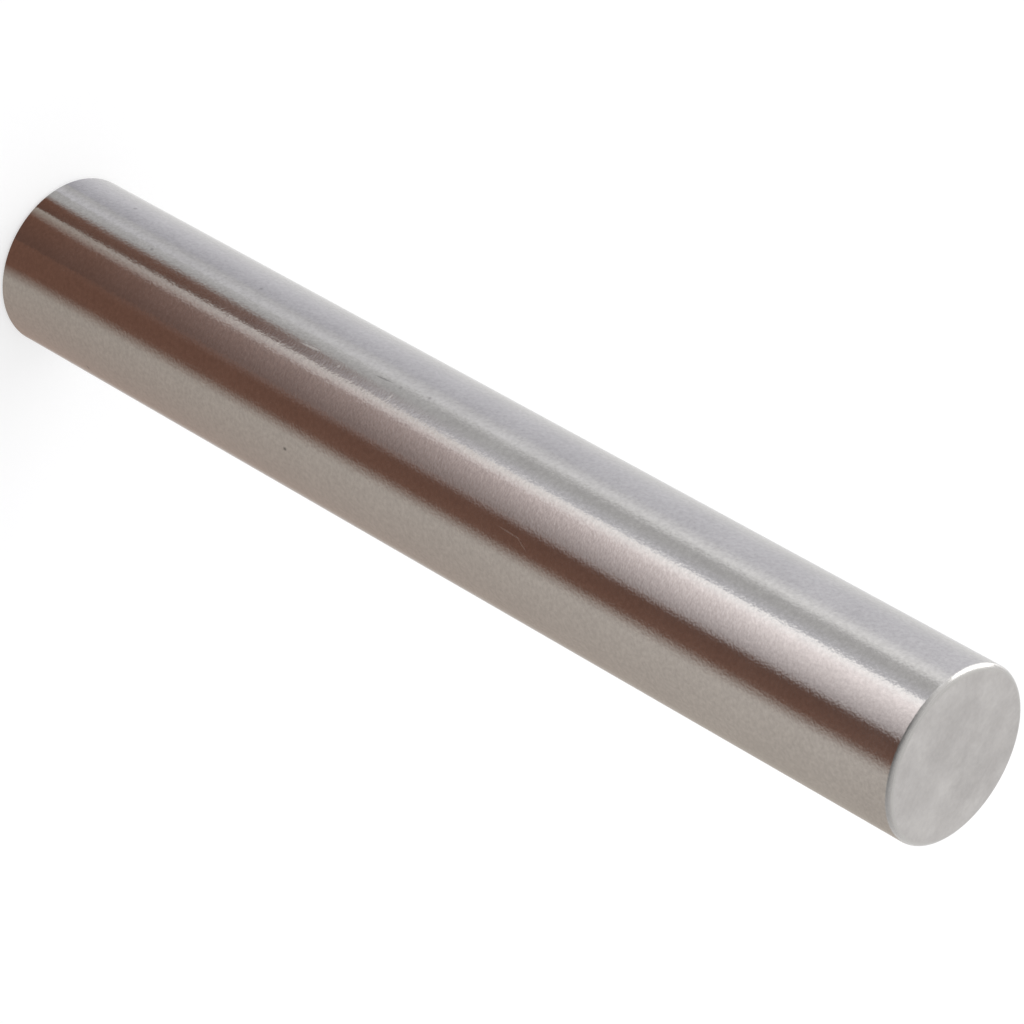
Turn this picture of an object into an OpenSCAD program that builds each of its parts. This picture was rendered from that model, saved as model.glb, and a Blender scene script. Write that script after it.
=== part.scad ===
// Plain cylindrical plug gauge (gauge pin).
// One solid piece of hardened steel, ground round over its whole length.
// Both ends are cut square, and the corner at each end is rounded off by a small radius.
// The pin stands upright on its lower end, centred on the origin, +Z along its axis.

/* [Pin] */

// Gauging diameter of the ground side
pin_d = 7.62; // [2:0.01:20]

// Overall length from end face to end face
pin_length = 50.8; // [20:0.1:120]

// Radius that rounds off the corner between the side and each end face
edge_radius = 0.25; // [0.1:0.01:0.4]

/* [Smoothness] */

// Facets round the pin in the preview
facets = 256; // [64:16:512]

/* [Hidden] */

pin_r = pin_d / 2;

// Radius of the flat end face, inside the rounded corner
face_r = pin_r - edge_radius;

// Length of the side that is ground to the full diameter
ground_length = pin_length - 2 * edge_radius;

ground_steel = [0.66, 0.65, 0.64];

$fn = facets;

// The round at one corner of the half profile, centred level with the end of the ground side.
module corner_round(height) {
    translate([face_r, height])
        circle(r = edge_radius);
}

// Half profile of the pin, to be turned about the axis.
module half_profile() {
    square([face_r, pin_length]);
    translate([0, edge_radius])
        square([pin_r, ground_length]);
    corner_round(edge_radius);
    corner_round(pin_length - edge_radius);
}

module gauge_pin() {
    color(ground_steel)
        rotate_extrude()
            half_profile();
}

gauge_pin();
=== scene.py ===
import math
import bpy
import numpy as np
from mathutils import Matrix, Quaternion, Vector


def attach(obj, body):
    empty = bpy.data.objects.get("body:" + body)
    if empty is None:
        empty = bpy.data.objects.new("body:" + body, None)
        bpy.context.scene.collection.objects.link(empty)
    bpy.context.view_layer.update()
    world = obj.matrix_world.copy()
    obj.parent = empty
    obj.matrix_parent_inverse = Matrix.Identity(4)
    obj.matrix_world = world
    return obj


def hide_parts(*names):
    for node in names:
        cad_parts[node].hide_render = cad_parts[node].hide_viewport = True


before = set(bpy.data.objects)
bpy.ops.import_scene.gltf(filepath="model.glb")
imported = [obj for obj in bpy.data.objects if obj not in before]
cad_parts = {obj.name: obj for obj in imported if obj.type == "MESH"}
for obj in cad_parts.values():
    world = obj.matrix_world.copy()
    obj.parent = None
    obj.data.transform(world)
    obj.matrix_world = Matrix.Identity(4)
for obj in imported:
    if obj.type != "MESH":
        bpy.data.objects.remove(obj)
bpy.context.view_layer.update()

# ---- The pin ----------------------------------------------------------------------------
# One solid pin of hardened steel, cut off square at both ends, then ground round between them.
# The corner at each end is rounded off, and the pin stands on one end, fixed to nothing.

PIN_RADIUS = 0.00381
PIN_LENGTH = 0.0508
EDGE_RADIUS = 0.00025
SEGMENTS = 480
EDGE_RINGS = 16
SIDE_RINGS = 90
FACE_RINGS = 8


def pin_section():
    """Half section of the pin from the middle of the lower face to the middle of the upper one,
    as rows of radius, height and slope. The edge is a quarter arc: its centre plus the edge
    radius times (cos, sin) of a slope from 0 to 90 degrees. The lower half is turned over."""
    slope = np.linspace(0.0, math.pi / 2, EDGE_RINGS + 1)
    face_radius = PIN_RADIUS - EDGE_RADIUS
    edge = np.stack([
        face_radius + EDGE_RADIUS * np.cos(slope),
        EDGE_RADIUS * (np.sin(slope) - 1.0),
        slope,
    ], axis=1)
    across = np.linspace(face_radius, 0.0, FACE_RINGS + 1)[1:-1]
    face = np.stack([across, np.zeros_like(across), np.full_like(across, math.pi / 2)], axis=1)
    upper = np.concatenate([edge, face])
    lower = (upper * [1.0, -1.0, -1.0])[::-1]
    heights = np.linspace(EDGE_RADIUS, PIN_LENGTH - EDGE_RADIUS, SIDE_RINGS + 1)[1:-1]
    side = np.stack([np.full_like(heights, PIN_RADIUS), heights, np.zeros_like(heights)], axis=1)
    return np.concatenate([lower, side, upper + [0.0, PIN_LENGTH, 0.0]])


def turned_mesh(name, section, segments):
    """A closed surface of revolution. Each row of the half section becomes a ring: x and y are
    the radius times the sine and minus the cosine of the turn, and the normal has the same turn
    and the row's slope. Quads join the rings, and a fan closes each end at the axis."""
    turn = np.linspace(0.0, 2 * math.pi, segments, endpoint=False)
    radius, height, slope = (section[:, [column]] for column in range(3))
    level = np.ones_like(turn)
    points = np.stack([radius * np.sin(turn), -radius * np.cos(turn), height * level], axis=2)
    normals = np.stack([
        np.cos(slope) * np.sin(turn),
        -np.cos(slope) * np.cos(turn),
        np.sin(slope) * level,
    ], axis=2)
    points = np.concatenate([points.reshape(-1, 3), [[0, 0, section[0, 1]], [0, 0, section[-1, 1]]]])
    normals = np.concatenate([normals.reshape(-1, 3), [[0, 0, -1], [0, 0, 1]]])
    rings = len(section)
    near = np.arange(segments)
    far = (near + 1) % segments
    row = np.arange(rings - 1)[:, None] * segments
    quads = np.stack([row + near, row + far, row + segments + far, row + segments + near], axis=2)
    top = (rings - 1) * segments
    fans = np.concatenate([
        np.stack([far, near, np.full_like(near, rings * segments)], axis=1),
        np.stack([top + near, top + far, np.full_like(near, rings * segments + 1)], axis=1),
    ])
    mesh = bpy.data.meshes.new(name)
    mesh.from_pydata(points.tolist(), [], quads.reshape(-1, 4).tolist() + fans.tolist())
    mesh.polygons.foreach_set("use_smooth", np.ones(len(mesh.polygons), dtype=bool))
    mesh.normals_split_custom_set_from_vertices(normals.tolist())
    return mesh


pin = bpy.data.objects.new("ground_pin", turned_mesh("ground_pin", pin_section(), SEGMENTS))
bpy.context.scene.collection.objects.link(pin)
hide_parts("gauge_pin")
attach(pin, "root")


class Socket:
    """A node's output in plain arithmetic: each operator adds the node that it needs."""

    def __init__(self, tree, socket=None):
        self.tree = tree
        self.socket = socket

    def make(self, kind, settings=None, inputs=None, output=0):
        """Adds any other node: its settings first, then a value or a link for each input."""
        node = self.tree.nodes.new(kind)
        for name, value in (settings or {}).items():
            setattr(node, name, value)
        for name, value in (inputs or {}).items():
            if isinstance(value, Socket):
                self.tree.links.new(value.socket, node.inputs[name])
            else:
                node.inputs[name].default_value = value
        return Socket(self.tree, node.outputs[output]) if len(node.outputs) else node

    def maths(self, operation, *values):
        return self.make("ShaderNodeMath", {"operation": operation}, dict(enumerate(values)))

    def vector(self, operation, other, output=0):
        return self.make("ShaderNodeVectorMath", {"operation": operation}, {0: self, 1: other}, output)

    def absolute(self):
        return self.maths("ABSOLUTE", self)

    def power(self, exponent):
        return self.maths("POWER", self, exponent)

    def __add__(self, other):
        return self.maths("ADD", self, other)

    def __radd__(self, other):
        return self.maths("ADD", other, self)

    def __sub__(self, other):
        return self.maths("SUBTRACT", self, other)

    def __rsub__(self, other):
        return self.maths("SUBTRACT", other, self)

    def __mul__(self, other):
        return self.maths("MULTIPLY", self, other)

    def __rmul__(self, other):
        return self.maths("MULTIPLY", other, self)

    def __truediv__(self, other):
        return self.maths("DIVIDE", self, other)

    def __rtruediv__(self, other):
        return self.maths("DIVIDE", other, self)

    def clamp(self):
        return self.make("ShaderNodeClamp", None, {"Value": self})

    def mix(self, low, high):
        """A colour between two others, by this value. A plain colour has three parts."""
        low, high = (colour if isinstance(colour, Socket) else (*colour, 1.0) for colour in (low, high))
        return self.make("ShaderNodeMix", {"data_type": "RGBA"}, {0: self, 6: low, 7: high}, 2)


def new_finish(name):
    """An empty material, and the start of its node tree."""
    material = bpy.data.materials.new(name)
    material.use_nodes = True
    material.node_tree.nodes.clear()
    return material, Socket(material.node_tree)


PER_METRE = 1000.0


def millimetres(start):
    """Object coordinates in millimetres."""
    place = start.make("ShaderNodeTexCoord", output="Object")
    return place.vector("MULTIPLY", (PER_METRE, PER_METRE, PER_METRE))


def noise(place, scale, detail=2.0, roughness=0.5):
    """Soft noise from 0 to 1. scale is how many patches lie in a millimetre, or three of them."""
    if isinstance(scale, tuple):
        place, scale = place.vector("MULTIPLY", scale), 1.0
    return place.make("ShaderNodeTexNoise", {"noise_dimensions": "3D"}, {
        "Vector": place, "Scale": scale, "Detail": detail, "Roughness": roughness})


def spread(value, gain):
    """Noise with its contrast raised about its middle, and cut off at 0 and 1."""
    return (gain * (value - 0.5) + 0.5).clamp()


def mark(place, turn, height, length, width, lean=0.0, bow=0.0):
    """The mask of one small mark on the side: 1 in its middle, 0 from its rim outwards. turn is
    in degrees round the pin from the camera's side, height, length and width are in millimetres.
    A mark lies round the pin, or leans out of that by some degrees, and bow bends its ends."""
    turn, lean = math.radians(turn), math.radians(lean)
    outward = Vector((math.sin(turn), -math.cos(turn), 0.0))
    around = Vector((math.cos(turn), math.sin(turn), 0.0))
    up = Vector((0.0, 0.0, 1.0))
    middle = PER_METRE * PIN_RADIUS * outward + height * up
    offset = place.vector("SUBTRACT", tuple(middle))
    along = math.cos(lean) * around + math.sin(lean) * up
    across = math.cos(lean) * up - math.sin(lean) * around
    u = offset.vector("DOT_PRODUCT", tuple(along * 2 / length), 1)
    v = offset.vector("DOT_PRODUCT", tuple(across * 2 / width), 1) + bow * u * u
    w = offset.vector("DOT_PRODUCT", tuple(outward), 1)
    return (1.0 - u * u - v * v - w * w).clamp()


def bump_map(start, height, depth):
    """A bump of the given depth in metres, from a height that goes from 0 to 1."""
    return start.make("ShaderNodeBump", None, {"Strength": 1.0, "Distance": depth, "Height": height})


def metal_output(start, colour, roughness, normal, anisotropy=0.0):
    """Bare metal. Anisotropy draws its gloss out along the pin, across the lay of the grinding."""
    shader = start.make("ShaderNodeBsdfPrincipled", None, {
        "Base Color": colour,
        "Metallic": 1.0,
        "Roughness": roughness,
        "Normal": normal,
        "Anisotropic": anisotropy,
        "Anisotropic Rotation": 0.25,
    })
    start.make("ShaderNodeOutputMaterial", None, {"Surface": shader})


DULL_STEEL = (0.53, 0.515, 0.505)
BRIGHT_STEEL = (0.67, 0.655, 0.64)
EDGE_STEEL = (0.49, 0.475, 0.458)
SPECK_COLOUR = (0.09, 0.085, 0.085)
SCRATCH_COLOUR = (0.85, 0.83, 0.80)
LAY_PATCHES = (5.5, 5.5, 6.2)
FINE_PATCHES = (8.5, 8.5, 9.5)
CLOUD_PATCHES = 0.5
SCRATCH_DEPTH = 5.0e-6
GLOSS_STRETCH = 0.8

ground_side, start = new_finish("ground_side")
place = millimetres(start)
lay = noise(place, LAY_PATCHES)
scratches = noise(place, FINE_PATCHES, 1.0)
clouds = noise(place, CLOUD_PATCHES, 3.0)
tone = (0.35 * clouds + 0.65 * spread(lay, 2.3)).clamp()
colour = tone.mix(DULL_STEEL, BRIGHT_STEEL)
dark_marks = (
    0.7 * mark(place, 39.7, 17.83, 0.20, 0.24)
    + 0.35 * mark(place, -48.0, 12.3, 0.25, 0.18)
    + 0.5 * mark(place, -32.0, 20.77, 1.0, 0.11, 95.0)
    + 0.3 * mark(place, -32.0, 21.72, 0.22, 0.22)
    + 0.3 * mark(place, -35.5, 23.16, 0.25, 0.2)
    + 0.25 * mark(place, -33.0, 6.63, 0.2, 0.2)
    + 0.35 * mark(place, -59.0, 3.66, 0.25, 0.22)
    + 0.5 * mark(place, 70.5, 5.1, 0.3, 0.2)
)
pale_marks = (
    0.65 * mark(place, 13.8, 30.28, 1.6, 0.08, 88.0)
    + 0.55 * mark(place, 16.2, 31.02, 1.0, 0.08, 63.0)
    + 0.6 * mark(place, -26.7, 16.8, 1.4, 0.13, 95.0)
    + 0.45 * mark(place, -24.5, 18.6, 0.2, 0.2)
    + 0.7 * mark(place, -22.8, 21.7, 0.5, 0.12, -8.0, 1.0)
)
colour = dark_marks.mix(colour, SPECK_COLOUR)
colour = pale_marks.mix(colour, SCRATCH_COLOUR)
depth = place.make("ShaderNodeSeparateXYZ", None, {"Vector": place}, "Z")
half_length = 0.5 * PER_METRE * PIN_LENGTH
edge_radius = PER_METRE * EDGE_RADIUS
edge = (((depth - half_length).absolute() - (half_length - edge_radius)) / edge_radius).clamp()
colour = edge.mix(colour, EDGE_STEEL)
bumps = bump_map(start, scratches, SCRATCH_DEPTH)
roughness = 0.15 + 0.05 * clouds + 0.12 * edge + 0.2 * dark_marks + 0.25 * pale_marks
metal_output(start, colour, roughness, bumps, GLOSS_STRETCH)
pin.data.materials.append(ground_side)

DULL_END = (0.44, 0.42, 0.41)
BRIGHT_END = (0.59, 0.57, 0.555)
END_CLOUDS = 0.6
END_GRAIN = 5.0
GRAIN_DEPTH = 1.0e-5
END_ROUGHNESS = 0.42
HAIR = 1e-6

cut_end, start = new_finish("cut_end")
place = millimetres(start)
clouds = noise(place, END_CLOUDS, 3.0, 0.55)
grain = noise(place, END_GRAIN, 3.0, 0.6)
tone = (0.7 * spread(clouds, 3.0) + 0.3 * spread(grain, 2.5)).clamp()
colour = tone.mix(DULL_END, BRIGHT_END)
bumps = bump_map(start, grain, GRAIN_DEPTH)
metal_output(start, colour, END_ROUGHNESS + 0.1 * clouds, bumps)
pin.data.materials.append(cut_end)

heights = np.empty(len(pin.data.polygons) * 3)
pin.data.polygons.foreach_get("center", heights)
heights = heights.reshape(-1, 3)[:, 2]
on_end = (heights < HAIR) | (heights > PIN_LENGTH - HAIR)
pin.data.polygons.foreach_set("material_index", on_end.astype(np.int32))

# ---- The floor and the room -------------------------------------------------------------
# A plain white sweep that the pin stands on, in a white room. Neither belongs to the pin.
# Both look white to the camera, and in bright metal.

FLOOR_HALF = 3.0
FLOOR_WHITE = (0.50, 0.50, 0.50, 1.0)
FLOOR_GLOW = 0.54
ROOM_LIGHT = (0.86, 0.86, 0.87)
ROOM_WHITE = (1.0, 1.0, 1.0)


def seen(start):
    """1 for what the camera sees, straight, in bright metal or through glass, otherwise 0."""
    ways = [start.make("ShaderNodeLightPath", output=way) for way in (
        "Is Camera Ray", "Is Glossy Ray", "Is Transmission Ray")]
    return (ways[0] + ways[1] + ways[2]).clamp()


floor_mesh = bpy.data.meshes.new("floor")
corners = FLOOR_HALF * np.array([(-1, -1, 0), (1, -1, 0), (1, 1, 0), (-1, 1, 0)])
floor_mesh.from_pydata(corners.tolist(), [], [(0, 1, 2, 3)])
floor = bpy.data.objects.new("floor", floor_mesh)
bpy.context.scene.collection.objects.link(floor)
white_floor, start = new_finish("white_floor")
matt = start.make("ShaderNodeBsdfDiffuse", None, {"Color": FLOOR_WHITE})
glow = start.make("ShaderNodeEmission", None, {"Strength": FLOOR_GLOW * seen(start)})
both = start.make("ShaderNodeAddShader", None, {0: matt, 1: glow})
start.make("ShaderNodeOutputMaterial", None, {"Surface": both})
floor_mesh.materials.append(white_floor)

world = bpy.data.worlds.new("white_room")
bpy.context.scene.world = world
world.use_nodes = True
world.node_tree.nodes.clear()
start = Socket(world.node_tree)
room = seen(start).mix(ROOM_LIGHT, ROOM_WHITE)
backdrop = start.make("ShaderNodeBackground", None, {"Color": room, "Strength": 1.0})
start.make("ShaderNodeOutputWorld", None, {"Surface": backdrop})

# ---- Lamp and cards ---------------------------------------------------------------------
# One wide soft box on the left, a little behind the pin, and plain cards on the floor and round
# the room. The cards show only in bright metal, as the light and dark bands along the pin.

BOX_WIDTH = 0.60
BOX_HEIGHT = 0.34
BOX_POWER = 1.7
BOX_PLACE = Vector((-0.527, 0.143, 0.17))
BOX_AIM = Vector((0.0, 0.0, 0.03))

lamp = bpy.data.lights.new("soft_box", "AREA")
lamp.shape = "RECTANGLE"
lamp.size, lamp.size_y = BOX_WIDTH, BOX_HEIGHT
lamp.energy = BOX_POWER
soft_box = bpy.data.objects.new("soft_box", lamp)
bpy.context.scene.collection.objects.link(soft_box)
soft_box.location = BOX_PLACE
soft_box.rotation_euler = (BOX_AIM - BOX_PLACE).to_track_quat("-Z", "Y").to_euler()

CARD_LIFT = 0.00002
CARD_TUCK = 0.00015
CARD_REACH = 0.13
CARD_STEPS = 24
ROOM_REACH = 1.4
GLOW_REACH = 0.5
LONG_FADE = (0.0, 0.07)


def card_object(name, points, colour_at):
    """A sheet of points with two directions of the grid, 0 to 1 in its UV map, that shines in the
    colour that colour_at makes from both. Only bright metal sees it."""
    steps_across, steps_out = points.shape[:2]
    corner = (np.arange(steps_across - 1)[:, None] * steps_out + np.arange(steps_out - 1)).reshape(-1)
    quads = np.stack([corner, corner + 1, corner + steps_out + 1, corner + steps_out], axis=1)
    mesh = bpy.data.meshes.new(name)
    mesh.from_pydata(points.reshape(-1, 3).tolist(), [], quads.tolist())
    loops = np.empty(len(mesh.loops), dtype=np.int32)
    mesh.loops.foreach_get("vertex_index", loops)
    shares = np.meshgrid(*(np.linspace(0, 1, steps) for steps in points.shape[:2]), indexing="ij")
    spots = np.stack([share.reshape(-1)[loops] for share in shares], axis=1)
    mesh.uv_layers.new(name="card").data.foreach_set("uv", spots.reshape(-1))
    material, start = new_finish(name)
    spot = start.make("ShaderNodeTexCoord", output="UV")
    shares = [start.make("ShaderNodeSeparateXYZ", None, {"Vector": spot}, part) for part in ("X", "Y")]
    shine = start.make("ShaderNodeEmission", None, {"Color": colour_at(*shares)})
    start.make("ShaderNodeOutputMaterial", None, {"Surface": shine})
    mesh.materials.append(material)
    card = bpy.data.objects.new(name, mesh)
    bpy.context.scene.collection.objects.link(card)
    for ray in ("camera", "diffuse", "transmission", "volume_scatter", "shadow"):
        setattr(card, "visible_" + ray, False)


def floor_card(name, edges, foot, far, fade=LONG_FADE, bend=1.0, inner=0.0, outer=CARD_REACH):
    """A card on the floor, over the part that the side mirrors between two angles, counted from
    the camera's side. Its points are the pin's foot at an angle, tucked in by a hair, plus a
    distance along the direction at twice that angle. foot and far give its colour at both edges,
    near the pin and from fade[1] outwards; between fade[0] and fade[1] it is a power curve."""
    angle = np.radians(np.linspace(*edges, CARD_STEPS + 1))[:, None]
    along = np.linspace(inner, outer, CARD_STEPS + 1)[None]
    from_axis = PIN_RADIUS - CARD_TUCK
    x = from_axis * np.sin(angle) + along * np.sin(2 * angle)
    y = -from_axis * np.cos(angle) - along * np.cos(2 * angle)

    def colour_at(across, out):
        distance = inner + (outer - inner) * out
        change = ((distance - fade[0]) / (fade[1] - fade[0])).clamp().power(bend)
        return change.mix(across.mix(*foot), across.mix(*far))

    card_object(name, np.stack([x, y, np.full_like(x, CARD_LIFT)], axis=2), colour_at)


def outer_floor(name, edges, colours, outer=ROOM_REACH):
    """A wide card beyond the others, whose colour changes only from one edge to the other."""
    floor_card(name, edges, colours, colours, inner=CARD_REACH, outer=outer)


def sky_card(name, sides, levels, low, high):
    """A curved card round the pin, part of a ball: each point lies ROOM_REACH from the pin's foot,
    in the direction of its bearing from the camera's side and its elevation."""
    bearing = np.radians(np.linspace(*sides, CARD_STEPS + 1))[:, None]
    elevation = np.radians(np.linspace(*levels, CARD_STEPS + 1))[None]
    points = ROOM_REACH * np.stack([
        np.cos(elevation) * np.sin(bearing),
        -np.cos(elevation) * np.cos(bearing),
        np.sin(elevation) * np.ones_like(bearing),
    ], axis=2)
    card_object(name, points, lambda across, up: up.mix(across.mix(*low), across.mix(*high)))


def plain(colour):
    return (colour, colour)


def grey(level):
    return (level, level, level)


WHITE = (1.1, 1.1, 1.1)
PALE = (0.85, 0.85, 0.85)
COOL = (0.75, 0.75, 0.8)
SHADE = (0.5, 0.5, 0.55)
GREY = (0.55, 0.55, 0.55)
BRIGHT = (1.6, 1.6, 1.6)
ROSE = (1.4, 1.3, 1.3)
DUSK = (0.6, 0.55, 0.55)
BROWN = (0.2, 0.1, 0.07)
DARK_BROWN = (0.15, 0.08, 0.06)
WARM = (0.5, 0.45, 0.4)
DEEP = (0.45, 0.35, 0.3)
SAND = (0.65, 0.6, 0.55)
WALL = (0, 50)
CEILING = (50, 90)

floor_card("pale_edge", (-90, -76), [WHITE, PALE], [PALE, PALE])
floor_card("pale_card", (-76, -60), [PALE, COOL], [PALE, COOL])
floor_card("cool_card", (-60, -45), [COOL, SHADE], [COOL, COOL])
floor_card("cool_edge", (-45, -36), [GREY, COOL], [COOL, WHITE])
floor_card("soft_fold", (-36, -31), plain(GREY), [WHITE, GREY])
floor_card("grey_card", (-31, -27), [GREY, BROWN], plain(GREY), (0.01, 0.025), 2.0)
floor_card("grey_step", (-27, -19), [BROWN, DARK_BROWN], [GREY, COOL], (0.015, 0.03), 2.0)
floor_card("bright_strip", (-19, -12.5), [WARM, BROWN], [BRIGHT, ROSE])
floor_card("rose_card", (-12.5, 5), [BROWN, DARK_BROWN], [ROSE, DUSK], bend=1.6)
floor_card("rose_edge", (5, 9), plain(BROWN), [DUSK, DARK_BROWN], bend=1.5)
floor_card("brown_card", (9, 21.5), plain(BROWN), [DARK_BROWN, BROWN])
floor_card("warm_edge", (21.5, 30), [BROWN, WARM], [BROWN, SAND])
floor_card("warm_card", (30, 76), [WARM, DEEP], [SAND, WARM])
floor_card("warm_rim", (76, 90), [DEEP, WHITE], [WARM, SAND])

outer_floor("bright_floor", (-75, -46), plain(grey(1.7)), GLOW_REACH)
outer_floor("dim_floor", (-20, -4), [grey(0.6), grey(0.25)])
outer_floor("dark_floor", (-4, 16), plain(grey(0.2)))
outer_floor("grey_floor", (16, 55), [grey(0.2), grey(0.65)])
outer_floor("left_floor", (-28, -20), [grey(1.0), grey(0.6)])
outer_floor("right_floor", (55, 76), [grey(0.65), grey(1.0)])
sky_card("left_wall", (-56, -40), WALL, [grey(1.0), grey(0.68)], [grey(1.0), grey(0.82)])
sky_card("right_wall", (110, 152), WALL, [grey(0.60), grey(1.0)], [grey(0.78), grey(1.0)])
sky_card("dim_wall", (-40, -8), WALL, [grey(0.68), grey(0.26)], [grey(0.82), grey(0.66)])
sky_card("dark_wall", (-8, 32), WALL, plain(grey(0.20)), plain(grey(0.66)))
sky_card("grey_wall", (32, 110), WALL, [grey(0.20), grey(0.60)], [grey(0.66), grey(0.78)])
sky_card("front_ceiling", (-40, 110), CEILING, plain(grey(0.68)), plain(grey(0.98)))
sky_card("back_ceiling", (110, 320), CEILING, plain(grey(0.98)), plain(grey(0.98)))

# ---- Camera -----------------------------------------------------------------------------
# A long lens a hand's length away, looking 36 degrees down on the pin and turned on its side.

CAMERA_PLACE = Vector((0.0, -0.17406, 0.15301))
CAMERA_AIM = Vector((0.00015, 0.0, 0.027235))
CAMERA_ROLL = 119.27
CAMERA_LENS = 187.85

lens = bpy.data.cameras.new("camera")
lens.lens = CAMERA_LENS
lens.sensor_width = 36.0
lens.clip_start, lens.clip_end = 0.01, 20.0
camera = bpy.data.objects.new("camera", lens)
bpy.context.scene.collection.objects.link(camera)
camera.location = CAMERA_PLACE
upright = (CAMERA_AIM - CAMERA_PLACE).to_track_quat("-Z", "Y")
camera.rotation_euler = (upright @ Quaternion((0, 0, 1), math.radians(CAMERA_ROLL))).to_euler()
bpy.context.scene.camera = camera
bpy.context.scene.view_settings.view_transform = "Standard"
